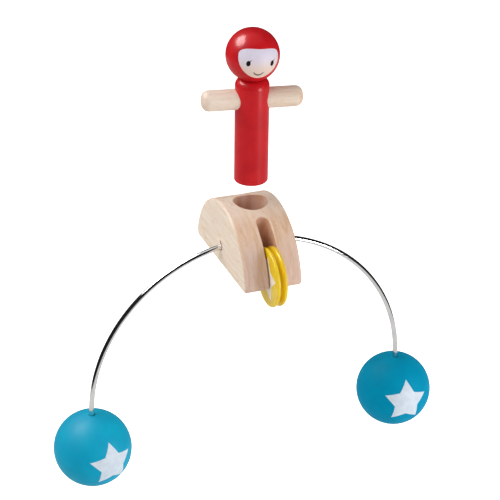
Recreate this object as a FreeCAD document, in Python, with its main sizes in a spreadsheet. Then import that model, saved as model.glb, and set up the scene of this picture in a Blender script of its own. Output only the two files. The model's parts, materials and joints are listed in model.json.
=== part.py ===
"""Balancing rope-rider toy.

A wooden arch block rides along a rope on two grooved wheels. A bent wire through the block
carries two balls below the rope, so the toy always swings back upright. A peg rider drops into
the bore on top of the block, and is drawn here lifted straight out of it.

Frame: millimetres, +Z up, +X to the toy's right, -Y to its front. The origin is on the rope line,
midway between the two wheels, level with the bottoms of the wheel grooves.
"""
import FreeCAD, Part
import math
import os
import Sketcher

# alias: (value in mm or degrees, what it is)
SIZES = {
    "block_width": (33.6, "arch block across its two side faces"),
    "block_shift": (-0.9, "middle of the block's width, off the plane of its bore and slots"),
    "arch_radius": (40.4, "radius of the block's curved back"),
    "block_height": (37.0, "block's flat bottom to the crown of the arch"),
    "block_bottom": (8.2, "block's flat bottom above the rope line"),
    "block_edge": (1.7, "rounding of the outlines of the block's side faces"),
    "corner_edge": (3.6, "rounding where the arch comes down to the block's bottom"),
    "bore_radius": (9.7, "bore that takes the rider"),
    "bore_depth": (19.0, "bore below the crown"),
    "bore_edge": (0.4, "rounding of the bore's mouth"),
    "slot_width": (7.6, "slot that a wheel runs in"),
    "slot_end": (15.6, "slot's round inner end from the middle of the block"),
    "slot_edge": (0.8, "rounding of the slot's edges"),
    "wire_height": (11.7, "wire hole above the block's bottom"),
    "wire_hole_radius": (2.6, "straight hole that the curved wire threads through"),
    "wire_hole_edge": (0.4, "chamfer of the wire hole"),
    "wheel_radius": (16.7, "wheel over its flanges"),
    "wheel_width": (6.0, "wheel across its side faces"),
    "wheel_place": (33.8, "wheel centre from the middle of the block"),
    "wheel_edge": (0.6, "rounding of the flanges"),
    "groove_radius": (14.0, "wheel at the bottom of its rope groove"),
    "groove_mouth": (2.6, "rope groove across its mouth"),
    "groove_floor": (0.9, "rope groove across its floor"),
    "groove_edge": (0.3, "rounding of the groove's floor"),
    "hub_bore_radius": (2.1, "wheel bore"),
    "axle_radius": (2.0, "wheel axle and its hole"),
    "axle_half_length": (12.8, "half the length of an axle"),
    "wire_radius": (1.5, "balance wire"),
    "wire_bend": (95.5, "radius of the wire's half circle"),
    "wire_leg": (13.0, "straight end of the wire below its bend"),
    "wire_rise": (0.8, "crown of the wire above the axis of its hole"),
    "ball_radius": (22.5, "balance ball"),
    "ball_drop": (22.9, "ball centre below the end of the wire's bend"),
    "ball_mouth_radius": (2.1, "countersink of a ball's hole"),
    "body_radius": (9.4, "rider's dowel body"),
    "body_length": (61.0, "rider's body from foot to shoulders"),
    "foot_edge": (1.0, "rounding of the rider's foot"),
    "shoulder_edge": (4.8, "rounding of the rider's shoulders"),
    "rider_lift": (31.7, "rider's foot above the bottom of its bore when lifted out"),
    "rider_turn": (-10.0, "rider's turn about its own axis"),
    "head_radius": (14.7, "rider's head"),
    "head_rise": (12.8, "head centre above the shoulders"),
    "arm_radius": (5.8, "arm dowel"),
    "arm_span": (56.0, "arm dowel from tip to tip"),
    "arm_drop": (12.5, "arm dowel's axis below the shoulders"),
    "arm_tip": (4.3, "rounding of the arm dowel's tips"),
    "neck_radius": (3.0, "hidden peg between body and head"),
    "neck_length": (12.0, "hidden peg, half in the body and half in the head"),
    "overcut": (1.0, "how far a cutter runs out past the surface it opens"),
}
SURFACE_TOLERANCE = 0.01
LEAST_CUT = 1.0

doc = FreeCAD.newDocument("rope_rider")
sheet = doc.addObject("Spreadsheet::Sheet", "sizes")
for row, (alias, (value, meaning)) in enumerate(SIZES.items(), start=1):
    sheet.set("A%d" % row, meaning)
    sheet.set("B%d" % row, str(value))
    sheet.setAlias("B%d" % row, alias)
doc.recompute()
Y_AXIS = FreeCAD.Vector(0, 1, 0)
nodes = []

AXLE_HEIGHT = "(sizes.groove_radius - sizes.block_bottom)"
BEND_CENTRE = "sizes.block_bottom + sizes.wire_height + sizes.wire_rise - sizes.wire_bend"
BORE_FLOOR = "sizes.block_bottom + sizes.block_height - sizes.bore_depth"
RIDER_FOOT = BORE_FLOOR + " + sizes.rider_lift"
SHOULDERS = RIDER_FOOT + " + sizes.body_length"


def size(alias):
    """A driving dimension, read back from the sheet."""
    return float(sheet.get(alias))


def worth(formula):
    """The number that a formula on the sheet's cells has now, for a sketch's first guess."""
    sign = -1.0 if formula.startswith("-") else 1.0
    probe = doc.addObject("App::FeaturePython", "probe")
    probe.addProperty("App::PropertyFloat", "value")
    probe.setExpression("value", formula.lstrip("-"))
    probe.recompute()
    number = sign * probe.value
    doc.removeObject(probe.Name)
    return number


def point(across, up):
    """A point of a sketch plane."""
    return FreeCAD.Vector(across, up, 0)


def place(node, x="0", y="0", z="0", turn=None):
    """Bind a sub-part's place in the toy to formulas on the sheet."""
    node.setExpression(".Placement.Base.x", x)
    node.setExpression(".Placement.Base.y", y)
    node.setExpression(".Placement.Base.z", z)
    if turn:
        node.setExpression(".Placement.Rotation.Angle", turn)


# ---------------------------------------------------------------- sketches and features
def new_body(label):
    body = doc.addObject("PartDesign::Body", label)
    body.Label = label
    nodes.append(body)
    return body


def new_sketch(body, name, role, offset=None):
    """A sketch on one of the body's own origin planes, moved off it along its normal."""
    sketch = body.newObject("Sketcher::SketchObject", name)
    plane = [item for item in body.Origin.OriginFeatures if item.Role == role][0]
    sketch.AttachmentSupport = [(plane, "")]
    sketch.MapMode = "FlatFace"
    if offset:
        sketch.setExpression(".AttachmentOffset.Base.z", offset)
    return sketch


def drive(sketch, name, kind, formula, *places):
    """A named dimension of a sketch, driven by a formula on the sheet's cells."""
    index = sketch.addConstraint(Sketcher.Constraint(kind, *places, worth(formula)))
    sketch.renameConstraint(index, name)
    sketch.setExpression("Constraints." + name, formula)


def pin_point(sketch, name, geometry, end, across, up):
    """Fix a point by its two coordinates: each a formula, with a leading minus or "0" allowed."""
    for kind, other_axis, formula in (("DistanceX", -2, across), ("DistanceY", -1, up)):
        if formula == "0":
            sketch.addConstraint(Sketcher.Constraint("PointOnObject", geometry, end, other_axis))
        elif formula.startswith("-"):
            drive(sketch, name + kind, kind, formula[1:], geometry, end, -1, 1)
        else:
            drive(sketch, name + kind, kind, formula, -1, 1, geometry, end)


def add_circle(sketch, name, radius, across="0", up="0"):
    """A full circle, placed and sized by formulas."""
    middle = point(worth(across), worth(up))
    circle = sketch.addGeometry(Part.Circle(middle, FreeCAD.Vector(0, 0, 1), worth(radius)))
    drive(sketch, name + "Radius", "Radius", radius, circle)
    pin_point(sketch, name, circle, 3, across, up)


def add_outline(sketch, corners):
    """A closed outline of straight edges through corners given as pairs of formulas."""
    spots = [point(worth(across), worth(up)) for across, up in corners]
    lines = []
    for start, end in zip(spots, spots[1:] + spots[:1]):
        lines.append(sketch.addGeometry(Part.LineSegment(start, end)))
    for index, (across, up) in enumerate(corners):
        previous = lines[index - 1]
        sketch.addConstraint(Sketcher.Constraint("Coincident", previous, 2, lines[index], 1))
        pin_point(sketch, "corner%d" % index, lines[index], 1, across, up)


def add_pad(body, name, sketch, length, symmetric=False, down=False):
    pad = body.newObject("PartDesign::Pad", name)
    pad.Profile = sketch
    pad.SideType = "Symmetric" if symmetric else "One side"
    pad.Reversed = down
    pad.setExpression("Length", length)
    doc.recompute()
    return pad


def add_pocket(body, name, sketch, both_ways=False, along_normal=False):
    """Cut right through, along the sketch's normal, against it, or both ways."""
    before = body.Shape.Volume
    pocket = body.newObject("PartDesign::Pocket", name)
    pocket.Profile = sketch
    pocket.Type = "ThroughAll"
    pocket.SideType = "Symmetric" if both_ways else "One side"
    pocket.Reversed = along_normal
    doc.recompute()
    if not pocket.Shape.Volume < before - LEAST_CUT:
        raise RuntimeError(name + " cuts nothing")
    return pocket


def edges_where(feature, test):
    """Names of a feature's edges whose sampled points all pass a test."""
    names = []
    for index, edge in enumerate(feature.Shape.Edges, start=1):
        if edge.Degenerated:
            continue
        samples = edge.discretize(Number=5)
        upright = near(samples[0].x, samples[-1].x) and near(samples[0].y, samples[-1].y)
        round_trip = samples[0].isEqual(samples[-1], SURFACE_TOLERANCE)
        if (round_trip or not upright) and all(test(sample) for sample in samples):
            names.append("Edge%d" % index)
    if not names:
        raise RuntimeError("no edges found on " + feature.Name)
    return names


def round_edges(body, name, feature, radius, test):
    fillet = body.newObject("PartDesign::Fillet", name)
    fillet.Base = (feature, edges_where(feature, test))
    fillet.setExpression("Radius", radius)
    doc.recompute()
    return fillet


def near(first, second):
    return abs(first - second) < SURFACE_TOLERANCE


def from_axis(sample):
    """Distance of a point from its body's Z axis."""
    return math.hypot(sample.x, sample.y)


# ---------------------------------------------------------------- arch block
def arch_half_length():
    """Half the length of the flat bottom, before its corners are rounded."""
    drop = size("arch_radius") - size("block_height")
    return math.sqrt(size("arch_radius") ** 2 - drop ** 2)


def sketch_arch(sketch):
    """Side view: a circle's arc closed by the flat bottom, with the bottom on the sketch's axis."""
    radius = size("arch_radius")
    drop = radius - size("block_height")
    start = math.asin(drop / radius)
    half_length = arch_half_length()
    circle = Part.Circle(point(0, -drop), FreeCAD.Vector(0, 0, 1), radius)
    arc = sketch.addGeometry(Part.ArcOfCircle(circle, start, math.pi - start))
    flat = sketch.addGeometry(Part.LineSegment(point(-half_length, 0), point(half_length, 0)))
    sketch.addConstraint(Sketcher.Constraint("Coincident", arc, 2, flat, 1))
    sketch.addConstraint(Sketcher.Constraint("Coincident", flat, 2, arc, 1))
    sketch.addConstraint(Sketcher.Constraint("Horizontal", flat))
    sketch.addConstraint(Sketcher.Constraint("PointOnObject", flat, 1, -1))
    drive(sketch, "archRadius", "Radius", "sizes.arch_radius", arc)
    pin_point(sketch, "archCentre", arc, 3, "0", "-(sizes.arch_radius - sizes.block_height)")


def sketch_slot(sketch):
    """Plan view of the rear slot: a round inner end, and straight walls out past the arch."""
    half = size("slot_width") / 2
    end = size("slot_end") + half
    outside = size("arch_radius")
    circle = Part.Circle(point(0, end), FreeCAD.Vector(0, 0, 1), half)
    arc = sketch.addGeometry(Part.ArcOfCircle(circle, math.pi, 2 * math.pi))
    right = sketch.addGeometry(Part.LineSegment(point(half, end), point(half, outside)))
    mouth = sketch.addGeometry(Part.LineSegment(point(half, outside), point(-half, outside)))
    left = sketch.addGeometry(Part.LineSegment(point(-half, outside), point(-half, end)))
    sketch.addConstraint(Sketcher.Constraint("Tangent", arc, 2, right, 1))
    sketch.addConstraint(Sketcher.Constraint("Coincident", right, 2, mouth, 1))
    sketch.addConstraint(Sketcher.Constraint("Coincident", mouth, 2, left, 1))
    sketch.addConstraint(Sketcher.Constraint("Tangent", left, 2, arc, 1))
    sketch.addConstraint(Sketcher.Constraint("Vertical", right))
    sketch.addConstraint(Sketcher.Constraint("Vertical", left))
    sketch.addConstraint(Sketcher.Constraint("Horizontal", mouth))
    drive(sketch, "mouthPlace", "DistanceY", "sizes.arch_radius", -1, 1, mouth, 1)
    drive(sketch, "endRadius", "Radius", "sizes.slot_width / 2", arc)
    pin_point(sketch, "endCentre", arc, 3, "0", "sizes.slot_end + sizes.slot_width / 2")


def on_slot_rim(sample):
    """True on the slots' walls and round ends, where they meet the outside of the block."""
    half = size("slot_width") / 2
    end = size("slot_end") + half
    beyond = abs(sample.y) - end
    if beyond >= -SURFACE_TOLERANCE:
        return near(abs(sample.x), half)
    return near(math.hypot(sample.x, beyond), half)


def make_arch_block():
    body = new_body("arch_block")
    place(body, z="sizes.block_bottom")
    profile = new_sketch(body, "arch_profile", "YZ_Plane", "sizes.block_shift")
    sketch_arch(profile)
    arch = add_pad(body, "arch_pad", profile, "sizes.block_width", symmetric=True)

    def on_bottom_corner(sample):
        return near(sample.z, 0) and near(abs(sample.y), arch_half_length())

    corners = round_edges(body, "bottom_corners", arch, "sizes.corner_edge", on_bottom_corner)

    def on_side_face(sample):
        return near(abs(sample.x - size("block_shift")), size("block_width") / 2)

    round_edges(body, "arch_edges", corners, "sizes.block_edge", on_side_face)

    bore_sketch = new_sketch(body, "bore_circle", "XY_Plane",
                             "sizes.block_height - sizes.bore_depth")
    add_circle(bore_sketch, "bore", "sizes.bore_radius")
    add_pocket(body, "rider_bore", bore_sketch, along_normal=True)

    wire_sketch = new_sketch(body, "wire_circle", "YZ_Plane")
    add_circle(wire_sketch, "wire", "sizes.wire_hole_radius", up="sizes.wire_height")
    add_pocket(body, "wire_hole", wire_sketch, both_ways=True)

    slot_sketch = new_sketch(body, "slot_outline", "XY_Plane")
    sketch_slot(slot_sketch)
    slot = add_pocket(body, "rear_slot", slot_sketch, both_ways=True)

    axle_sketch = new_sketch(body, "axle_circle", "YZ_Plane", "-sizes.axle_half_length")
    add_circle(axle_sketch, "axle", "sizes.axle_radius", "sizes.wheel_place", AXLE_HEIGHT)
    axle_hole = add_pocket(body, "rear_axle_hole", axle_sketch, along_normal=True)

    mirrored = body.newObject("PartDesign::Mirrored", "front_slot_and_hole")
    mirrored.Originals = [slot, axle_hole]
    middle = [item for item in body.Origin.OriginFeatures if item.Role == "XZ_Plane"][0]
    mirrored.MirrorPlane = (middle, [""])
    body.Tip = mirrored
    doc.recompute()

    slots = round_edges(body, "slot_edges", mirrored, "sizes.slot_edge", on_slot_rim)

    def on_bore_mouth(sample):
        above_floor = sample.z > size("block_height") - size("bore_depth") / 2
        return above_floor and near(from_axis(sample), size("bore_radius"))

    mouth = round_edges(body, "bore_mouth", slots, "sizes.bore_edge", on_bore_mouth)

    def on_wire_mouth(sample):
        from_wire = math.hypot(sample.y, sample.z - size("wire_height"))
        return on_side_face(sample) and near(from_wire, size("wire_hole_radius"))

    chamfer = body.newObject("PartDesign::Chamfer", "wire_mouths")
    chamfer.Base = (mouth, edges_where(mouth, on_wire_mouth))
    chamfer.setExpression("Size", "sizes.wire_hole_edge")
    doc.recompute()


# ---------------------------------------------------------------- wheels and axles
def make_wheel(label, y):
    """A disc turned about X, with a rope groove between two flanges."""
    body = new_body(label)
    place(body, y=y, z="sizes.groove_radius")
    section = new_sketch(body, label + "_section", "XZ_Plane")
    half = "sizes.wheel_width / 2"
    mouth = "sizes.groove_mouth / 2"
    floor = "sizes.groove_floor / 2"
    add_outline(section, [
        ("-" + half, "sizes.hub_bore_radius"),
        (half, "sizes.hub_bore_radius"),
        (half, "sizes.wheel_radius"),
        (mouth, "sizes.wheel_radius"),
        (floor, "sizes.groove_radius"),
        ("-" + floor, "sizes.groove_radius"),
        ("-" + mouth, "sizes.wheel_radius"),
        ("-" + half, "sizes.wheel_radius"),
    ])
    turned = body.newObject("PartDesign::Revolution", label + "_turned")
    turned.Profile = section
    turned.ReferenceAxis = (section, ["H_Axis"])
    turned.Angle = 360
    doc.recompute()

    def at_radius(alias):
        return lambda sample: near(math.hypot(sample.y, sample.z), size(alias))

    rim = round_edges(body, label + "_rim", turned, "sizes.wheel_edge", at_radius("wheel_radius"))
    round_edges(body, label + "_groove", rim, "sizes.groove_edge", at_radius("groove_radius"))


def make_rod(label, radius, length, x="0", y="0", z="0"):
    """A plain round rod lying along X, starting at x."""
    rod = doc.addObject("Part::Cylinder", label)
    rod.Label = label
    rod.setExpression("Radius", radius)
    rod.setExpression("Height", length)
    rod.Placement = FreeCAD.Placement(FreeCAD.Vector(), FreeCAD.Rotation(Y_AXIS, 90))
    place(rod, x, y, z)
    nodes.append(rod)


def make_running_gear():
    """Each wheel runs on an axle driven in from the right side, and a plug closes the hole."""
    for end, y in (("front", "-sizes.wheel_place"), ("rear", "sizes.wheel_place")):
        make_wheel(end + "_wheel", y)
        make_rod(end + "_axle", "sizes.axle_radius", "2 * sizes.axle_half_length",
                 "-sizes.axle_half_length", y, "sizes.groove_radius")
        make_rod(end + "_axle_plug", "sizes.axle_radius",
                 "sizes.block_width / 2 + sizes.block_shift - sizes.axle_half_length",
                 "sizes.axle_half_length", y, "sizes.groove_radius")


# ---------------------------------------------------------------- balance wire and balls
def make_balance_wire():
    """A half circle over the block with a short straight leg at each end."""
    body = new_body("balance_wire")
    place(body, z=BEND_CENTRE)
    section = new_sketch(body, "wire_section", "XY_Plane")
    add_circle(section, "section", "sizes.wire_radius", "sizes.wire_bend")
    bend = body.newObject("PartDesign::Revolution", "wire_half_circle")
    bend.Profile = section
    bend.ReferenceAxis = (section, ["V_Axis"])
    bend.Angle = 180
    bend.Reversed = True
    doc.recompute()
    legs = new_sketch(body, "leg_circles", "XY_Plane")
    add_circle(legs, "rightLeg", "sizes.wire_radius", "sizes.wire_bend")
    add_circle(legs, "leftLeg", "sizes.wire_radius", "-sizes.wire_bend")
    add_pad(body, "wire_legs", legs, "sizes.wire_leg", down=True)


def make_ball(label, x):
    """A ball with a blind hole from the top for the wire's leg, countersunk at its mouth."""
    solid = doc.addObject("Part::Sphere", label + "_solid")
    solid.setExpression("Radius", "sizes.ball_radius")
    place(solid, x, z=BEND_CENTRE + " - sizes.ball_drop")
    hole = doc.addObject("Part::Cylinder", label + "_hole")
    hole.setExpression("Radius", "sizes.wire_radius")
    hole.setExpression("Height", "2 * sizes.wire_leg")
    place(hole, x, z=BEND_CENTRE + " - sizes.wire_leg")
    mouth = doc.addObject("Part::Cone", label + "_mouth")
    depth = "(sizes.ball_mouth_radius - sizes.wire_radius)"
    mouth.setExpression("Radius1", "sizes.wire_radius")
    mouth.setExpression("Radius2", "sizes.ball_mouth_radius + sizes.overcut")
    mouth.setExpression("Height", depth + " + sizes.overcut")
    place(mouth, x, z=BEND_CENTRE + " - sizes.ball_drop + sizes.ball_radius - " + depth)
    cutter = doc.addObject("Part::Fuse", label + "_cutter")
    cutter.Base = hole
    cutter.Tool = mouth
    ball = doc.addObject("Part::Cut", label)
    ball.Label = label
    ball.Base = solid
    ball.Tool = cutter
    nodes.append(ball)


# ---------------------------------------------------------------- peg rider
def make_rider_body():
    """A dowel with a rounded foot and shoulders, bored across for the arms and down for the neck."""
    body = new_body("rider_body")
    place(body, z=RIDER_FOOT, turn="sizes.rider_turn")
    section = new_sketch(body, "body_circle", "XY_Plane")
    add_circle(section, "body", "sizes.body_radius")
    dowel = add_pad(body, "body_dowel", section, "sizes.body_length")
    foot = round_edges(body, "body_foot", dowel, "sizes.foot_edge",
                       lambda sample: near(sample.z, 0))
    round_edges(body, "body_shoulders", foot, "sizes.shoulder_edge",
                lambda sample: near(sample.z, size("body_length")))
    arms = new_sketch(body, "arm_hole_circle", "YZ_Plane")
    add_circle(arms, "arms", "sizes.arm_radius", up="sizes.body_length - sizes.arm_drop")
    add_pocket(body, "arm_hole", arms, both_ways=True)
    neck = new_sketch(body, "neck_hole_circle", "XY_Plane",
                      "sizes.body_length - sizes.neck_length / 2")
    add_circle(neck, "neck", "sizes.neck_radius")
    add_pocket(body, "neck_hole", neck, along_normal=True)


def make_rider_arms():
    """One dowel right through the body, with rounded tips."""
    body = new_body("rider_arms")
    place(body, z=SHOULDERS + " - sizes.arm_drop", turn="sizes.rider_turn")
    section = new_sketch(body, "arm_circle", "YZ_Plane")
    add_circle(section, "arm", "sizes.arm_radius")
    dowel = add_pad(body, "arm_dowel", section, "sizes.arm_span", symmetric=True)
    round_edges(body, "arm_tips", dowel, "sizes.arm_tip",
                lambda sample: near(abs(sample.x), size("arm_span") / 2))


def make_rider_head():
    """A ball with a flat underside that sits on the shoulders, bored for the neck peg."""
    solid = doc.addObject("Part::Sphere", "head_solid")
    solid.setExpression("Radius", "sizes.head_radius")
    solid.setExpression("Angle1", "-asin(sizes.head_rise / sizes.head_radius)")
    place(solid, z=SHOULDERS + " + sizes.head_rise")
    hole = doc.addObject("Part::Cylinder", "head_hole")
    hole.setExpression("Radius", "sizes.neck_radius")
    hole.setExpression("Height", "sizes.neck_length")
    place(hole, z=SHOULDERS + " - sizes.neck_length / 2")
    head = doc.addObject("Part::Cut", "rider_head")
    head.Label = "rider_head"
    head.Base = solid
    head.Tool = hole
    nodes.append(head)


def make_neck_peg():
    peg = doc.addObject("Part::Cylinder", "rider_neck_peg")
    peg.Label = "rider_neck_peg"
    peg.setExpression("Radius", "sizes.neck_radius")
    peg.setExpression("Height", "sizes.neck_length")
    place(peg, z=SHOULDERS + " - sizes.neck_length / 2")
    nodes.append(peg)


# ---------------------------------------------------------------- checks and files
def check_document():
    for item in doc.Objects:
        if "Invalid" in item.State or "Error" in item.State:
            raise RuntimeError("failed feature: " + item.Name)
    for node in nodes:
        if node.Shape.isNull() or not node.Shape.isValid():
            raise RuntimeError("bad shape: " + node.Label)
        print("%-18s %10.1f mm3  %d solid" % (node.Label, node.Shape.Volume,
                                              len(node.Shape.Solids)))


def write_parts():
    os.makedirs("parts", exist_ok=True)
    for node in nodes:
        node.Shape.exportStep("parts/%s.step" % node.Label)


make_arch_block()
make_running_gear()
make_balance_wire()
make_ball("left_ball", "-sizes.wire_bend")
make_ball("right_ball", "sizes.wire_bend")
make_rider_body()
make_rider_arms()
make_rider_head()
make_neck_peg()
doc.recompute()
check_document()
write_parts()
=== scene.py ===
"""A balancing rope-rider toy: its finishes, its printed stars and its painted doll's face.

The frame is the CAD parts' own: X to the toy's right, Y back along the rope, Z up, in metres.
Sizes written in millimetres are multiplied by MM. Colours are written as 0 to 255 screen values.
"""

import json
import math

import bmesh
import bpy
from mathutils import Matrix, Vector

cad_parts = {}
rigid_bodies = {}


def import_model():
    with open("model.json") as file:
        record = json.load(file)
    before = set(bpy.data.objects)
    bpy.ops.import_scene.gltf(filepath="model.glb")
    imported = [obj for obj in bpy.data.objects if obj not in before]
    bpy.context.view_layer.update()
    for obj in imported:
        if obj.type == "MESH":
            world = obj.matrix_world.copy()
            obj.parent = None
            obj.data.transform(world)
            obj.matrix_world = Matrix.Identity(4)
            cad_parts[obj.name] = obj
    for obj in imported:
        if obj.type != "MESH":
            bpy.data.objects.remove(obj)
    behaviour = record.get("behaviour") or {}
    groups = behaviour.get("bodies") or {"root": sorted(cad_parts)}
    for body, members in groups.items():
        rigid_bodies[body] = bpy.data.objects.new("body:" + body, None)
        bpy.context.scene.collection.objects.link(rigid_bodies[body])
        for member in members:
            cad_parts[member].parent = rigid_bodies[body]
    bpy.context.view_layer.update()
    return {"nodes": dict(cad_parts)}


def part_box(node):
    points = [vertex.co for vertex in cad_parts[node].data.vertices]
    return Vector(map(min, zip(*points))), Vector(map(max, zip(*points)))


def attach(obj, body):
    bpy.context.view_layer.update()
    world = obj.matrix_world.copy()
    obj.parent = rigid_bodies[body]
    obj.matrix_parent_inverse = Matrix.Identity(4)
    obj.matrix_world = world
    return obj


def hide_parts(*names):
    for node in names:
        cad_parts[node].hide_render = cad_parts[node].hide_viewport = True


for leftover in list(bpy.data.objects):
    bpy.data.objects.remove(leftover)

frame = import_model()
nodes = frame["nodes"]

MM = 0.001

# Paint and print: a film's thickness, how far out it keeps it, and the share left at its edge
FILM = 0.05 * MM
FILM_SHOULDER = 0.985
FILM_EDGE = 0.55
STAR_RADIUS = 13.4 * MM
STAR_WAIST = 7.6 * MM
WHEEL_STAR_RADIUS = 13.2 * MM
WHEEL_STAR_WAIST = 7.3 * MM
WHEEL_STAR_HOLE = 2.4 * MM
WHEEL_STAR_TURN = 5.0
BALL_STAR_TURNS = {"left": (15.0, -0.3, 0.9), "right": (-3.0, 6.4, -3.5)}

# The rider stands turned by this much in its bore, and the grain of its arms with it
RIDER_TURN = -10.0

# The doll's head: the face lies a little lower than the hood's paint, and goes on under its edge
HOOD_STEP = 0.12 * MM
FACE_TURN = (-4.5, -3.0, -5.0)
FACE_HALF_WIDTH = 11.1 * MM
FACE_BROW = 8.2 * MM
FACE_CHIN = 8.5 * MM
FACE_WIDEST = 2.2 * MM
BROW_SQUARENESS = 3.2
CHIN_SQUARENESS = 1.8
FACE_UNDER_HOOD = 1.012
EYE_PLACES = {"left": (-6.3 * MM, 0.4 * MM), "right": (6.9 * MM, 0.4 * MM)}
EYE_SIZE = (1.05 * MM, 1.55 * MM)
EYE_TILT = 6.0
MOUTH_HALF_WIDTH = 2.8 * MM
MOUTH_PLACE = (-0.3 * MM, -4.2 * MM)
MOUTH_DEPTH = 1.9 * MM
STROKE = 0.34 * MM

# Where a drill and a router have made the bore and the slots in the block, in millimetres, for the shade
# painted into them: the bore, and the slots from the middles of their round ends out
BORE_REACH = 9.8
SLOT_REACH = 3.9
SLOT_START = 19.4

# Wood: a light and a dark tone for each piece
BLOCK_WOOD = ((247, 233, 215), (236, 215, 192))
ARM_WOOD = ((248, 234, 218), (233, 212, 191))
PLUG_WOOD = ((226, 204, 174), (196, 168, 136))

# Wood: tints that every piece shares
FLECK = (226, 188, 152)
SLOPING_GRAIN = (214, 162, 120)
END_GRAIN = (212, 186, 186)
PALE_LAYER = (236, 212, 210)
DARK_LAYER = (206, 156, 112)
# Painted shade inside the bore and the slots: a darker, warmer wood tone
HOLLOW_SHADE = (196, 116, 50)
PORE = (150, 112, 80)
# Paler edges: partly wear, partly a painted highlight on the rounded edges
EDGE_WEAR_AND_HIGHLIGHT = (250, 236, 214)

# The grain below paint, in steps to a millimetre along each axis
RED_GRAIN = (1.3, 1.3, 0.05)
BLUE_GRAIN = (0.9, 0.9, 0.05)

# Paint and plastic: the main tone, a deeper one, and a paler one for the edges
RED = ((206, 24, 32), (192, 16, 26), (222, 66, 66))
# Both balls have one blue: the right ball's copy is darker, painted shade for the lesser light that reaches
# it
LIT_BLUE = ((4, 171, 205), (0, 161, 199), (60, 184, 210))
SHADED_BLUE = ((0, 152, 190), (0, 145, 184), (60, 178, 206))
# On the wheel, the yellow's paler tone along the edges is a painted highlight on the flange rims
YELLOW = ((245, 211, 22), (240, 198, 14), (250, 226, 124))

# Metal and ink: two tones that it varies between
STEEL = ((196, 196, 200), (170, 170, 176))
BRIGHT_PLATE = ((242, 241, 240), (232, 230, 228))
WHITE_INK = ((220, 232, 242), (210, 222, 235))
CREAM_INK = ((255, 244, 230), (248, 234, 218))
BLACK_INK = ((8, 6, 12), (20, 16, 26))
MOUTH_INK = ((18, 12, 16), (32, 24, 28))

# The face, from its brow down to its chin, where warm light from the red body is painted in, and the grain
# that shows through it
FACE_WHITE = (223, 216, 234)
CHIN_BOUNCE = (231, 204, 185)
FACE_GRAIN = (218, 204, 206)

# The camera: its azimuth, elevation and roll, how far off it stands, its lens, and how far to the
# right of the block's foot and above it it aims
CAMERA_TURN = (-21.366, 27.552, 0.845)
CAMERA_DISTANCE = 980 * MM
CAMERA_LENS = 124.49
CAMERA_AIM = (0.18 * MM, 5.04 * MM)

# The floor: how far below the balls it lies, and how far it reaches from the middle
FLOOR_DROP = 350 * MM
FLOOR_REACH = 4.0
FLOOR_PAINT = (242, 242, 242)

# The world's light by height, from -1 straight down to 1 straight up: the two heights between which
# it changes, and its strength below and above them. Soft light falls on everything. What shines
# sees the glow of the floor under a dark room, and a pale ceiling overhead
SOFT_LIGHT = (-0.5, 0.3, 0.78, 0.46)
FLOOR_GLOW = (-0.37, -0.3, 0.68, 0.012)
CEILING_GLOW = (0.82, 0.9, 0.0, 0.7)

# Lamps: azimuth and elevation in degrees, and distance, width and height in metres
KEY_PLACE = (-105.0, 45.0, 0.9, 1.3, 0.6)
LEFT_PLACE = (-122.0, 52.0, 0.8, 0.52, 0.4)
RIGHT_PLACE = (32.0, -3.0, 0.8, 0.22, 0.26)
FILL_PLACE = (46.0, 0.0, 1.0, 0.6, 0.9)


# --- Small helpers -------------------------------------------------------------------------------


def screen(red, green, blue):
    """A screen colour of 0 to 255 as the linear colour that a shader takes."""
    shares = [value / 255 for value in (red, green, blue)]
    linear = [s / 12.92 if s <= 0.04045 else ((s + 0.055) / 1.055) ** 2.4 for s in shares]
    return (*linear, 1.0)


def middle(node):
    """The middle of a CAD node's box."""
    low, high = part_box(node)
    return (low + high) / 2


def half_size(node):
    """Half of a CAD node's size along X, Y and Z."""
    low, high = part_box(node)
    return (high - low) / 2


def facing_axes(azimuth, elevation, roll=0.0):
    """Right, up and outward directions of a view of the toy. Azimuth 0 faces the front, which is -Y."""
    azimuth, elevation, roll = (math.radians(angle) for angle in (azimuth, elevation, roll))
    flat = math.cos(elevation)
    outward = Vector((math.sin(azimuth) * flat, -math.cos(azimuth) * flat, math.sin(elevation)))
    level = Vector((math.cos(azimuth), math.sin(azimuth), 0.0))
    rise = outward.cross(level)
    right = level * math.cos(roll) + rise * math.sin(roll)
    up = rise * math.cos(roll) - level * math.sin(roll)
    return right, up, outward


# --- Finishes ------------------------------------------------------------------------------------


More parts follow.
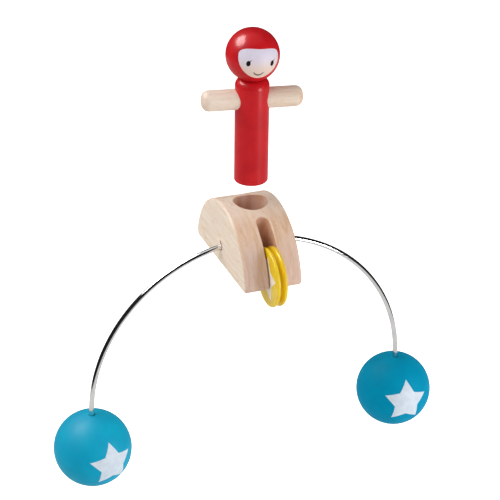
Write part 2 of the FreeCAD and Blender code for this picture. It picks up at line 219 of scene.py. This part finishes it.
class Finish:
    """A material, with short calls that add nodes to it and join them."""

    def __init__(self, name, **sockets):
        self.material = bpy.data.materials.new(name)
        self.material.use_nodes = True
        self.nodes = self.material.node_tree.nodes
        self.links = self.material.node_tree.links
        self.shader = self.nodes["Principled BSDF"]
        for socket, value in sockets.items():
            self.shader.inputs[socket.replace("_", " ")].default_value = value

    def add(self, kind, sockets, **settings):
        """Adds a node and fills its inputs with plain values or with other nodes' outputs."""
        node = self.nodes.new("ShaderNode" + kind)
        for setting, value in settings.items():
            setattr(node, setting, value)
        for socket, value in sockets.items():
            self.fill(node.inputs[socket], value)
        return node

    def fill(self, socket, value):
        """Joins an output to a socket, or sets the socket's own value."""
        if isinstance(value, bpy.types.NodeSocket):
            self.links.new(value, socket)
        else:
            socket.default_value = value

    def to_shader(self, socket, value):
        """Joins an output to one of the shader's inputs."""
        self.links.new(value, self.shader.inputs[socket])

    def spot(self, stretch=(1, 1, 1), turn=(0, 0, 0), shift=(0, 0, 0)):
        """The place on the object in millimetres, turned first and then stretched."""
        place = self.add("TexCoord", {}).outputs["Object"]
        scale = (1 / MM, 1 / MM, 1 / MM)
        sockets = {"Vector": place, "Rotation": turn, "Scale": scale, "Location": shift}
        turned = self.add("Mapping", sockets)
        if tuple(stretch) == (1, 1, 1):
            return turned.outputs[0]
        return self.add("Mapping", {"Vector": turned.outputs[0], "Scale": stretch}).outputs[0]

    def noise(self, vector, scale=1.0, detail=2.0, rough=0.5, bend=0.0):
        """Soft random clouds from 0 to 1."""
        sockets = {
            "Vector": vector,
            "Scale": scale,
            "Detail": detail,
            "Roughness": rough,
            "Distortion": bend,
        }
        return self.add("TexNoise", sockets).outputs["Fac"]

    def ranged(self, value, low, high, start=0.0, end=1.0):
        """Carries low..high over to start..end, and holds it there beyond."""
        sockets = {"Value": value, "From Min": low, "From Max": high, "To Min": start, "To Max": end}
        return self.add("MapRange", sockets, interpolation_type="SMOOTHSTEP").outputs["Result"]

    def math(self, operation, first, second=0.0):
        """Arithmetic on one or two values."""
        return self.add("Math", {0: first, 1: second}, operation=operation).outputs[0]

    def reach(self, across, along):
        """How far a flat step goes."""
        step = self.add("CombineXYZ", {0: across, 1: along}).outputs[0]
        return self.add("VectorMath", {0: step}, operation="LENGTH").outputs["Value"]

    def mix(self, share, first, second):
        """Mixes two colours. A Mix node takes them at inputs 6 and 7, and gives one at output 2."""
        return self.add("Mix", {0: share, 6: first, 7: second}, data_type="RGBA").outputs[2]

    def edges(self, radius):
        """How sharp the shape is here: 0 on open surfaces and up to 1 along an edge."""
        bevel = self.add("Bevel", {"Radius": radius}, samples=4).outputs[0]
        flat = self.add("NewGeometry", {}).outputs["Normal"]
        dot = self.add("VectorMath", {0: bevel, 1: flat}, operation="DOT_PRODUCT").outputs["Value"]
        return self.ranged(dot, 0.995, 0.9)

    def bump(self, height, depth, below=None):
        """Raises the surface by height times depth, in metres."""
        sockets = {"Height": height, "Distance": depth, "Strength": 1.0}
        if below is not None:
            sockets["Normal"] = below
        return self.add("Bump", sockets).outputs[0]


def wood(name, tones, grain_turn, seed, end_tint=0.35, shade_hollows=False):
    """Sanded pale hardwood. The grain runs along Y once the object is turned by grain_turn."""
    finish = Finish(name, Specular_IOR_Level=0.32)
    light, dark = (screen(*tone) for tone in tones)
    shift = (seed, 7 * seed, 3 * seed)

    def grain(stretch, *settings):
        """Noise of so many steps to a millimetre along each axis, then its detail, roughness, bend."""
        return finish.noise(finish.spot(stretch, grain_turn, shift), 1.0, *settings)

    fibres = grain((1.5, 0.045, 1.5), 3.0, 0.6)
    bands = grain((0.28, 0.012, 0.28), 2.0, 0.5, 0.6)
    pores = grain((4.2, 0.3, 4.2), 1.0, 0.4)
    flecks = grain((0.5, 0.09, 0.5), 3.0, 0.6, 1.2)
    layers = grain((0.34, 0.02, 0.05), 2.0, 0.55, 0.9)
    place = finish.spot(turn=grain_turn, shift=shift)
    clouds = finish.noise(place, 0.07, 2.0)
    facing = end_facing(finish, grain_turn)

    streak = finish.math("MULTIPLY", finish.math("ADD", fibres, bands), 0.5)
    colour = finish.mix(finish.ranged(streak, 0.3, 0.7), light, dark)
    colour = finish.mix(finish.ranged(flecks, 0.48, 0.7, 0.0, 0.55), colour, screen(*FLECK))
    colour = finish.mix(growth_rings(finish, place), colour, dark)
    colour = finish.mix(finish.ranged(clouds, 0.35, 0.75, 0.0, 0.35), colour, dark)
    sloping = finish.ranged(facing, 0.15, 0.55, 0.0, 1.45 * end_tint)
    colour = finish.mix(sloping, colour, screen(*SLOPING_GRAIN))
    squarely = finish.ranged(facing, 0.6, 0.97, 0.0, 1.4 * end_tint)
    colour = finish.mix(squarely, colour, screen(*END_GRAIN))
    colour = tint_layers(finish, colour, layers, facing)
    # Painted shade: darker, warmer wood inside the bore and the slots
    if shade_hollows:
        colour = finish.mix(hollow_shade_share(finish), colour, screen(*HOLLOW_SHADE))
    pore = finish.ranged(pores, 0.66, 0.74)
    colour = finish.mix(finish.math("MULTIPLY", pore, 0.3), colour, screen(*PORE))
    # Paler edges: partly wear, partly a painted highlight on the rounded edges
    wear_and_highlight = finish.math("MULTIPLY", finish.edges(0.8 * MM), 0.5)
    finish.to_shader("Base Color", finish.mix(wear_and_highlight, colour, screen(*EDGE_WEAR_AND_HIGHLIGHT)))
    finish.to_shader("Roughness", finish.ranged(fibres, 0.3, 0.7, 0.5, 0.62))
    raised = finish.bump(fibres, 0.035 * MM)
    finish.to_shader("Normal", finish.bump(pore, -0.03 * MM, raised))
    return finish.material


def growth_rings(finish, place):
    """Faint wide rings round the grain."""
    sockets = {
        "Vector": place,
        "Scale": 0.075,
        "Distortion": 2.4,
        "Detail": 2.0,
        "Detail Scale": 0.12,
    }
    rings = finish.add("TexWave", sockets, wave_type="RINGS", rings_direction="Y")
    return finish.ranged(rings.outputs["Fac"], 0.55, 1.0, 0.0, 0.3)


def end_facing(finish, grain_turn):
    """How squarely the surface faces along the grain: 0 on its sides and 1 on its ends."""
    sockets = {"Vector": finish.add("TexCoord", {}).outputs["Normal"], "Rotation": grain_turn}
    turned = finish.add("Mapping", sockets, vector_type="NORMAL").outputs[0]
    return finish.math("ABSOLUTE", finish.add("SeparateXYZ", {0: turned}).outputs["Y"])


def tint_layers(finish, colour, layers, facing):
    """Pale and dark layers of growth: faint on the wood's sides, and clearer on its ends."""
    clear = finish.ranged(facing, 0.1, 0.7, 0.12, 0.42)
    for tint, start, full in ((PALE_LAYER, 0.5, 0.68), (DARK_LAYER, 0.5, 0.34)):
        share = finish.math("MULTIPLY", finish.ranged(layers, start, full), clear)
        colour = finish.mix(share, colour, screen(*tint))
    return colour


def hollow_shade_share(finish):
    """How much shade is painted into the block: darker and warmer wood inside the bore and the slots."""
    parts = finish.add("SeparateXYZ", {0: finish.spot()}).outputs
    in_bore = finish.math("LESS_THAN", finish.reach(parts["X"], parts["Y"]), BORE_REACH)
    short = finish.math("SUBTRACT", SLOT_START, finish.math("ABSOLUTE", parts["Y"]))
    from_slot = finish.reach(parts["X"], finish.math("MAXIMUM", short, 0.0))
    in_slot = finish.math("LESS_THAN", from_slot, SLOT_REACH)
    bore_share = finish.math("MULTIPLY", in_bore, 0.15)
    slot_share = finish.math("MULTIPLY", in_slot, 0.5)
    return finish.math("MAXIMUM", bore_share, slot_share)


def paint(name, tones, grain, seed, rough, coat, shine):
    """Lacquered paint on turned wood: the grain and the brush show faintly through it."""
    finish = Finish(name, Coat_Weight=coat, Coat_Roughness=0.2, Specular_IOR_Level=shine)
    colour, deep, pale = (screen(*tone) for tone in tones)
    shift = (seed, 2 * seed, 5 * seed)
    clouds = finish.noise(finish.spot(shift=shift), 0.09, 3.0)
    fibres = finish.noise(finish.spot(grain, shift=shift), 1.0, 3.0, 0.6)
    peel = finish.noise(finish.spot(shift=shift), 1.6, 1.0)
    body = finish.mix(finish.ranged(clouds, 0.3, 0.7), colour, deep)
    body = finish.mix(finish.ranged(fibres, 0.45, 0.75, 0.0, 0.3), body, deep)
    body = finish.mix(finish.math("MULTIPLY", finish.edges(0.5 * MM), 0.35), body, pale)
    finish.to_shader("Base Color", body)
    finish.to_shader("Roughness", finish.ranged(clouds, 0.3, 0.7, rough - 0.04, rough + 0.05))
    under = finish.bump(fibres, 0.02 * MM)
    finish.to_shader("Normal", finish.bump(peel, 0.012 * MM, under))
    return finish.material


def print_ink(name, tones, rough):
    """Pad-printed ink: a thin even film with a trace of the wood below."""
    finish = Finish(name, Specular_IOR_Level=0.2)
    colour, shade = (screen(*tone) for tone in tones)
    clouds = finish.noise(finish.spot(), 0.35, 3.0)
    specks = finish.noise(finish.spot(), 2.6, 2.0)
    body = finish.mix(finish.ranged(clouds, 0.3, 0.7), colour, shade)
    finish.to_shader("Base Color", finish.mix(finish.ranged(specks, 0.6, 0.8, 0.0, 0.25), body, shade))
    finish.to_shader("Roughness", finish.ranged(specks, 0.3, 0.7, rough - 0.05, rough + 0.05))
    finish.to_shader("Normal", finish.bump(specks, 0.01 * MM))
    return finish.material


def face_paint(name, head, radius):
    """The face: cool white paint with a painted reflection of warm light from the red body, growing towards
    the chin, and upright grain.
    """
    finish = Finish(name, Specular_IOR_Level=0.35)
    fibres = finish.noise(finish.spot((1.4, 1.4, 0.08)), 1.0, 3.0, 0.6)
    height = finish.add("SeparateXYZ", {0: finish.spot()}).outputs["Z"]
    chin = (head.z - 0.4 * radius) / MM
    nose = (head.z + 0.3 * radius) / MM
    # Painted reflection: warm light thrown up from the red body, strongest at the chin
    chin_bounce_share = finish.ranged(height, chin, nose, 1.0, 0.0)
    body = finish.mix(chin_bounce_share, screen(*FACE_WHITE), screen(*CHIN_BOUNCE))
    body = finish.mix(finish.ranged(fibres, 0.4, 0.75, 0.0, 0.5), body, screen(*FACE_GRAIN))
    finish.to_shader("Base Color", body)
    finish.to_shader("Roughness", finish.ranged(fibres, 0.3, 0.7, 0.42, 0.55))
    finish.to_shader("Normal", finish.bump(fibres, 0.012 * MM))
    return finish.material


def turned_gloss(name, tones, axle):
    """Glossy yellow wheel: fine turning marks run round its axle."""
    finish = Finish(name, Coat_Weight=0.2, Coat_Roughness=0.12, Specular_IOR_Level=0.3)
    colour, deep, pale = (screen(*tone) for tone in tones)
    spot = finish.spot(shift=tuple(-part / MM for part in axle))
    parts = finish.add("SeparateXYZ", {0: spot}).outputs
    reach = finish.reach(parts["Y"], parts["Z"])
    lathe = finish.add("CombineXYZ", {0: reach, 1: parts["X"]}).outputs[0]
    marks = finish.noise(lathe, 3.2, 2.0, 0.6)
    clouds = finish.noise(spot, 0.18, 3.0)
    body = finish.mix(finish.ranged(clouds, 0.3, 0.7), colour, deep)
    # Paler edges: a painted highlight on the flange rims
    body = finish.mix(finish.math("MULTIPLY", finish.edges(0.55 * MM), 0.6), body, pale)
    finish.to_shader("Base Color", body)
    finish.to_shader("Roughness", finish.ranged(marks, 0.3, 0.7, 0.3, 0.42))
    finish.to_shader("Normal", finish.bump(marks, 0.02 * MM))
    return finish.material


def drawn_metal(name, tones, rough, stretch, seed, depth):
    """Bright drawn wire or pin, with fine lines along it and a little unevenness in its polish."""
    finish = Finish(name, Metallic=1.0)
    colour, deep = (screen(*tone) for tone in tones)
    lines = finish.noise(finish.spot(stretch, shift=(seed, seed, seed)), 1.0, 2.0)
    clouds = finish.noise(finish.spot(shift=(seed, seed, seed)), 0.12, 3.0)
    finish.to_shader("Base Color", finish.mix(finish.ranged(clouds, 0.35, 0.7), colour, deep))
    finish.to_shader("Roughness", finish.ranged(lines, 0.35, 0.7, rough, rough + 0.08))
    finish.to_shader("Normal", finish.bump(lines, depth))
    return finish.material


def dress(node, material):
    """Gives a CAD node a finish."""
    for holder in nodes[node].material_slots:
        holder.material = material


# --- Pieces in mesh code -------------------------------------------------------------------------


def skin(name, rings, material, looped=False):
    """A smooth mesh through rings of points. A ring of one point closes an end."""
    mesh = bmesh.new()
    made = [[mesh.verts.new(point) for point in ring] for ring in rings]
    following = made[1:] + made[:1] if looped else made[1:]
    for first, second in zip(made, following):
        for k in range(max(len(first), len(second))):
            near_pair = (first[k % len(first)], first[(k + 1) % len(first)])
            far_pair = (second[(k + 1) % len(second)], second[k % len(second)])
            mesh.faces.new(dict.fromkeys(near_pair + far_pair))
    bmesh.ops.recalc_face_normals(mesh, faces=mesh.faces)
    data = bpy.data.meshes.new(name)
    mesh.to_mesh(data)
    mesh.free()
    data.polygons.foreach_set("use_smooth", [True] * len(data.polygons))
    piece = bpy.data.objects.new(name, data)
    bpy.context.scene.collection.objects.link(piece)
    data.materials.append(material)
    return piece


def on_ball(centre, radius, turn):
    """Lays a drawing on a ball, straight in from the direction it faces."""
    right, up, outward = facing_axes(*turn)

    def place(across, along, lift):
        inward = max(radius**2 - across**2 - along**2, 0.0)
        spot = right * across + up * along + outward * math.sqrt(inward)
        return centre + spot.normalized() * (radius + lift)

    return place


def on_side(centre, turn):
    """Lays a drawing on a flat side that faces the turn's direction."""
    right, up, outward = facing_axes(*turn)

    def place(across, along, lift):
        return centre + right * across + up * along + outward * lift

    return place


def star(radius, waist, turn=0.0, steps=12):
    """The outline of a five-pointed star, with its first point up, turned clockwise by turn degrees."""
    corners = []
    for k in range(10):
        reach = waist if k % 2 else radius
        angle = math.radians(turn + 36 * k)
        corners.append(Vector((reach * math.sin(angle), reach * math.cos(angle))))
    sides = zip(corners, corners[1:] + corners[:1])
    return [start.lerp(end, step / steps) for start, end in sides for step in range(steps)]


def oval(half_width, half_height, tilt=0.0, steps=40, centre=(0.0, 0.0)):
    """The outline of an oval, its top leaning to the right by tilt degrees."""
    lean = Matrix.Rotation(-math.radians(tilt), 2)
    outline = []
    for k in range(steps):
        angle = 2 * math.pi * k / steps
        spoke = Vector((half_width * math.sin(angle), half_height * math.cos(angle)))
        outline.append(lean @ spoke + Vector(centre))
    return outline


def face_outline(steps=120):
    """The hood's opening: a straight brow with round corners, over a chin like the end of an egg."""
    outline = []
    for k in range(steps):
        angle = 2 * math.pi * k / steps
        over = math.cos(angle) > 0
        power = 2 / BROW_SQUARENESS if over else 2 / CHIN_SQUARENESS
        height = FACE_BROW - FACE_WIDEST if over else FACE_CHIN + FACE_WIDEST
        across = math.copysign(abs(math.sin(angle)) ** power, math.sin(angle))
        along = math.copysign(abs(math.cos(angle)) ** power, math.cos(angle))
        outline.append(Vector((FACE_HALF_WIDTH * across, height * along + FACE_WIDEST)))
    return outline


def film(name, outline, place, material, rings=10, lift=FILM, hole=0.0, depth=FILM):
    """A closed film of paint inside an outline, its edge rounded over. A hole leaves a round gap."""
    heart = sum(outline, Vector((0.0, 0.0))) / len(outline)
    spokes = [point - heart for point in outline]
    shares = [k / rings for k in range(rings)] + [FILM_SHOULDER, 1.0]

    def ring(share, height):
        if share == 0 and not hole:
            return [place(*heart, height)]
        reaches = [spoke.normalized() * hole * (1 - share) + spoke * share for spoke in spokes]
        return [place(*(heart + reach), height) for reach in reaches]

    upper = [ring(share, lift * (FILM_EDGE if share == 1 else 1)) for share in shares]
    lower = [ring(share, -depth) for share in reversed(shares)]
    return skin(name, upper + lower, material, looped=bool(hole))


def stroke(name, points, widths, place, material, lift=FILM):
    """A drawn line: a thin strip of ink through points, with a half width at each."""
    rings = [[place(*points[0], 0.0)]]
    for k in range(1, len(points) - 1):
        along = (points[k + 1] - points[k - 1]).normalized()
        side = Vector((-along.y, along.x)) * widths[k]
        left, right = points[k] + side, points[k] - side
        top = [place(*(points[k] + side * share), lift) for share in (0.7, 0.0, -0.7)]
        rings.append([place(*left, -lift), *top, place(*right, -lift)])
    rings.append([place(*points[-1], 0.0)])
    return skin(name, rings, material)


def make_hood(head, radius, outline, material, rings=64):
    """The painted ball of the head: whole but for the face, which is sunk by the paint's step."""
    right, up, outward = facing_axes(*FACE_TURN)
    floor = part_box("rider_head")[0].z

    def ring(share, height, tighten=1.0):
        spots = []
        for point in outline:
            edge = math.asin(min(point.length / radius, 1.0)) * tighten
            angle = edge + (math.pi - edge) * share
            side = (right * point.x + up * point.y).normalized()
            spot = head + (outward * math.cos(angle) + side * math.sin(angle)) * (radius + height)
            spot.z = max(spot.z, floor)
            spots.append(spot)
        return spots

    sunk = -4 * HOOD_STEP
    inside = [[head + outward * (radius + sunk)]] + [ring(0, sunk, share / 6) for share in range(1, 7)]
    # The lip: from the face up the edge of the paint, which is rounded over
    lip = [ring(0, -HOOD_STEP), ring(0.001, -0.3 * HOOD_STEP), ring(0.003, 0.0)]
    outside = [ring(share / rings, 0.0) for share in range(1, rings)]
    back = [[head - outward * radius]]
    return skin("rider_hood", inside + lip + outside + back, material)


def dress_head(red):
    """The hood, the face in it, and the eyes, lashes and mouth printed on the face."""
    radius = half_size("rider_head").y
    head = middle("rider_head")
    head.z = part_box("rider_head")[1].z - radius
    outline = face_outline()
    hood = make_hood(head, radius, outline, red)
    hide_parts("rider_head")
    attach(hood, "rider")
    on_face = on_ball(head, radius - HOOD_STEP, FACE_TURN)
    skin_paint = face_paint("face_paint", head, radius)
    wide = [point * FACE_UNDER_HOOD for point in outline]
    face = film("rider_face", wide, on_face, skin_paint, rings=24, lift=0.0, depth=2 * FILM)
    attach(face, "rider")
    ink = print_ink("black_ink", BLACK_INK, rough=0.5)
    for side, place in EYE_PLACES.items():
        eye_centre = Vector(place)
        eye = film(f"{side}_eye", oval(*EYE_SIZE, EYE_TILT, centre=eye_centre), on_face, ink, rings=4)
        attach(eye, "rider")
        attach(make_lash(f"{side}_lash", eye_centre, on_face, ink), "rider")
    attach(make_mouth(on_face, print_ink("grey_ink", MOUTH_INK, rough=0.5)), "rider")


def make_lash(name, eye, place, material, steps=8):
    """A lash that sweeps up to the right from the top of the eye."""
    start = eye + Vector((0.1 * MM, 0.8 * MM))
    bend = eye + Vector((0.9 * MM, 1.1 * MM))
    tip = eye + Vector((1.5 * MM, 2.35 * MM))
    points = [curve(start, bend, tip, k / steps) for k in range(steps + 1)]
    widths = [1.1 * STROKE * (1 - k / steps) + 0.2 * STROKE for k in range(steps + 1)]
    return stroke(name, points, widths, place, material)


def make_mouth(place, material, steps=24):
    """A smile: a shallow curve that thins towards its ends."""
    points, widths = [], []
    for k in range(steps + 1):
        across = 2 * k / steps - 1
        drop = MOUTH_DEPTH * (1 - abs(across) ** 2.3)
        points.append(Vector((MOUTH_PLACE[0] + MOUTH_HALF_WIDTH * across, MOUTH_PLACE[1] - drop)))
        widths.append(1.3 * STROKE * (1 - 0.6 * across**2))
    return stroke("mouth", points, widths, place, material)


def curve(start, bend, end, share):
    """A point of a curve that leaves start towards bend and comes from there to end."""
    return start.lerp(bend, share).lerp(bend.lerp(end, share), share)


def print_ball_stars(white):
    """One star on the front of each ball. Each ball has turned a little on its wire."""
    for side, turn in BALL_STAR_TURNS.items():
        place = on_ball(middle(f"{side}_ball"), half_size(f"{side}_ball").y, turn)
        piece = film(f"{side}_ball_star", star(STAR_RADIUS, STAR_WAIST), place, white, rings=14)
        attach(piece, "balance_arm")


def print_wheel_stars(white):
    """A star on each side of both wheels, with a gap for the axle."""
    for wheel in ("front_wheel", "rear_wheel"):
        centre, half = middle(wheel), half_size(wheel)
        for side, azimuth in (("left", -90.0), ("right", 90.0)):
            outward = facing_axes(azimuth, 0.0)[2]
            place = on_side(centre + outward * half.x, (azimuth, 0.0))
            turn = WHEEL_STAR_TURN if side == "left" else -WHEEL_STAR_TURN
            outline = star(WHEEL_STAR_RADIUS, WHEEL_STAR_WAIST, turn)
            piece = film(f"{wheel}_{side}_star", outline, place, white, hole=WHEEL_STAR_HOLE)
            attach(piece, wheel)


# --- Studio --------------------------------------------------------------------------------------


def place_camera():
    """The camera stands at the toy's left front, a little above it, with a long lens."""
    right, up, outward = facing_axes(*CAMERA_TURN)
    foot = Vector((0.0, 0.0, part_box("arch_block")[0].z))
    camera = bpy.data.objects.new("camera", bpy.data.cameras.new("camera"))
    camera.data.lens = CAMERA_LENS
    camera.data.sensor_width = 36.0
    aim = foot + right * CAMERA_AIM[0] + up * CAMERA_AIM[1]
    axes = Matrix((right, up, outward)).transposed()
    camera.matrix_world = Matrix.Translation(aim + outward * CAMERA_DISTANCE) @ axes.to_4x4()
    bpy.context.scene.collection.objects.link(camera)
    bpy.context.scene.camera = camera


def add_softbox(name, place, watts, glint=False):
    """A soft light that faces the middle of the toy. A glint shows only as a highlight on what
    shines, and the other lights never do, so that a bright wire isn't lost against the floor.
    """
    azimuth, elevation, distance, width, height = place
    right, up, outward = facing_axes(azimuth, elevation)
    light = bpy.data.lights.new(name, "AREA")
    light.shape = "RECTANGLE"
    light.size = width
    light.size_y = height
    light.energy = watts
    lamp = bpy.data.objects.new(name, light)
    axes = Matrix((right, up, outward)).transposed()
    lamp.matrix_world = Matrix.Translation(middle("arch_block") + outward * distance) @ axes.to_4x4()
    lamp.visible_diffuse = not glint
    lamp.visible_glossy = glint
    bpy.context.scene.collection.objects.link(lamp)


def make_floor():
    """A pale floor well below the balls, bright as a light table."""
    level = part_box("left_ball")[0].z - FLOOR_DROP
    corners = [(-1, -1), (1, -1), (1, 1), (-1, 1)]
    mesh = bmesh.new()
    mesh.faces.new([mesh.verts.new((FLOOR_REACH * x, FLOOR_REACH * y, level)) for x, y in corners])
    data = bpy.data.meshes.new("floor")
    mesh.to_mesh(data)
    mesh.free()
    finish = Finish("floor_paint", Roughness=0.9, Specular_IOR_Level=0.1, Emission_Strength=1.0)
    finish.shader.inputs["Base Color"].default_value = screen(*FLOOR_PAINT)
    finish.shader.inputs["Emission Color"].default_value = (1.0, 1.0, 1.0, 1.0)
    data.materials.append(finish.material)
    floor = bpy.data.objects.new("floor", data)
    bpy.context.scene.collection.objects.link(floor)
    floor.visible_diffuse = False
    floor.visible_glossy = False


def light_world():
    """Even soft light from all round. What shines sees other light, and the camera sees white."""
    world = bpy.data.worlds.new("studio")
    world.use_nodes = True
    bpy.context.scene.world = world
    nodes_of, links = world.node_tree.nodes, world.node_tree.links
    shade = nodes_of["Background"]
    place = nodes_of.new("ShaderNodeTexCoord")
    split = nodes_of.new("ShaderNodeSeparateXYZ")
    links.new(place.outputs["Generated"], split.inputs[0])

    def by_height(low, high, below, above):
        """Strength that changes smoothly between two heights."""
        ramp = nodes_of.new("ShaderNodeMapRange")
        ramp.interpolation_type = "SMOOTHSTEP"
        ramp.inputs["From Min"].default_value = low
        ramp.inputs["From Max"].default_value = high
        ramp.inputs["To Min"].default_value = below
        ramp.inputs["To Max"].default_value = above
        links.new(split.outputs["Z"], ramp.inputs["Value"])
        return ramp.outputs[0]

    path = nodes_of.new("ShaderNodeLightPath")
    seen = nodes_of.new("ShaderNodeMix")
    links.new(path.outputs["Is Glossy Ray"], seen.inputs["Factor"])
    links.new(by_height(*SOFT_LIGHT), seen.inputs["A"])
    sheen = nodes_of.new("ShaderNodeMath")
    sheen.operation = "ADD"
    links.new(by_height(*FLOOR_GLOW), sheen.inputs[0])
    links.new(by_height(*CEILING_GLOW), sheen.inputs[1])
    links.new(sheen.outputs[0], seen.inputs["B"])
    either = nodes_of.new("ShaderNodeMath")
    either.operation = "MAXIMUM"
    links.new(path.outputs["Is Camera Ray"], either.inputs[0])
    links.new(seen.outputs[0], either.inputs[1])
    links.new(either.outputs[0], shade.inputs["Strength"])
    shade.inputs["Color"].default_value = (1.0, 1.0, 1.0, 1.0)


def light_studio():
    """A wide key light from the upper left and a tall fill light from the right front, each with a
    faint glint of its own, and two small lamps for the sharp highlights.
    """
    light_world()
    add_softbox("key_light", KEY_PLACE, watts=6.0)
    add_softbox("key_glint", KEY_PLACE, watts=1.9, glint=True)
    add_softbox("left_lamp", LEFT_PLACE, watts=15.0, glint=True)
    add_softbox("right_lamp", RIGHT_PLACE, watts=3.2, glint=True)
    add_softbox("fill_light", FILL_PLACE, watts=5.6)
    add_softbox("fill_glint", FILL_PLACE, watts=1.6, glint=True)
    bpy.context.scene.view_settings.view_transform = "Standard"


# --- The toy -------------------------------------------------------------------------------------


def dress_parts():
    """Finishes for the CAD nodes that are shown as they are."""
    along_y = (0.0, 0.0, 0.0)
    along_x = (0.0, 0.0, math.radians(90.0))
    along_arms = (0.0, 0.0, math.radians(90.0 - RIDER_TURN))
    # The block gets painted shade inside its bore and slots
    block = wood("block_wood", BLOCK_WOOD, along_y, seed=11.0, shade_hollows=True)
    arms = wood("arm_wood", ARM_WOOD, along_arms, seed=29.0, end_tint=0.15)
    plug = wood("plug_wood", PLUG_WOOD, along_x, seed=43.0, end_tint=0.4)
    red = paint("red_paint", RED, RED_GRAIN, seed=5.0, rough=0.42, coat=0.35, shine=0.05)
    # The right ball's blue is a darker copy of the left's: painted shade
    blue = paint("blue_paint", LIT_BLUE, BLUE_GRAIN, seed=17.0, rough=0.5, coat=0.0, shine=0.12)
    shaded_blue = paint("deep_blue_paint", SHADED_BLUE, BLUE_GRAIN, seed=19.0, rough=0.5, coat=0.0, shine=0.03)
    dress("arch_block", block)
    dress("rider_arms", arms)
    dress("rider_neck_peg", plug)
    dress("rider_body", red)
    dress("left_ball", blue)
    dress("right_ball", shaded_blue)
    steel = drawn_metal("axle_steel", STEEL, 0.26, (0.05, 4.0, 4.0), seed=3.0, depth=0.004 * MM)
    for end in ("front", "rear"):
        wheel = f"{end}_wheel"
        dress(wheel, turned_gloss(f"{wheel}_gloss", YELLOW, middle(wheel)))
        dress(f"{end}_axle", steel)
        dress(f"{end}_axle_plug", plug)
    wire = drawn_metal("bright_wire", BRIGHT_PLATE, 0.05, (3.0, 3.0, 3.0), seed=8.0, depth=0.001 * MM)
    dress("balance_wire", wire)
    return red


red_paint = dress_parts()
dress_head(red_paint)
print_ball_stars(print_ink("white_ink", WHITE_INK, rough=0.45))
print_wheel_stars(print_ink("cream_ink", CREAM_INK, rough=0.45))
make_floor()
light_studio()
place_camera()
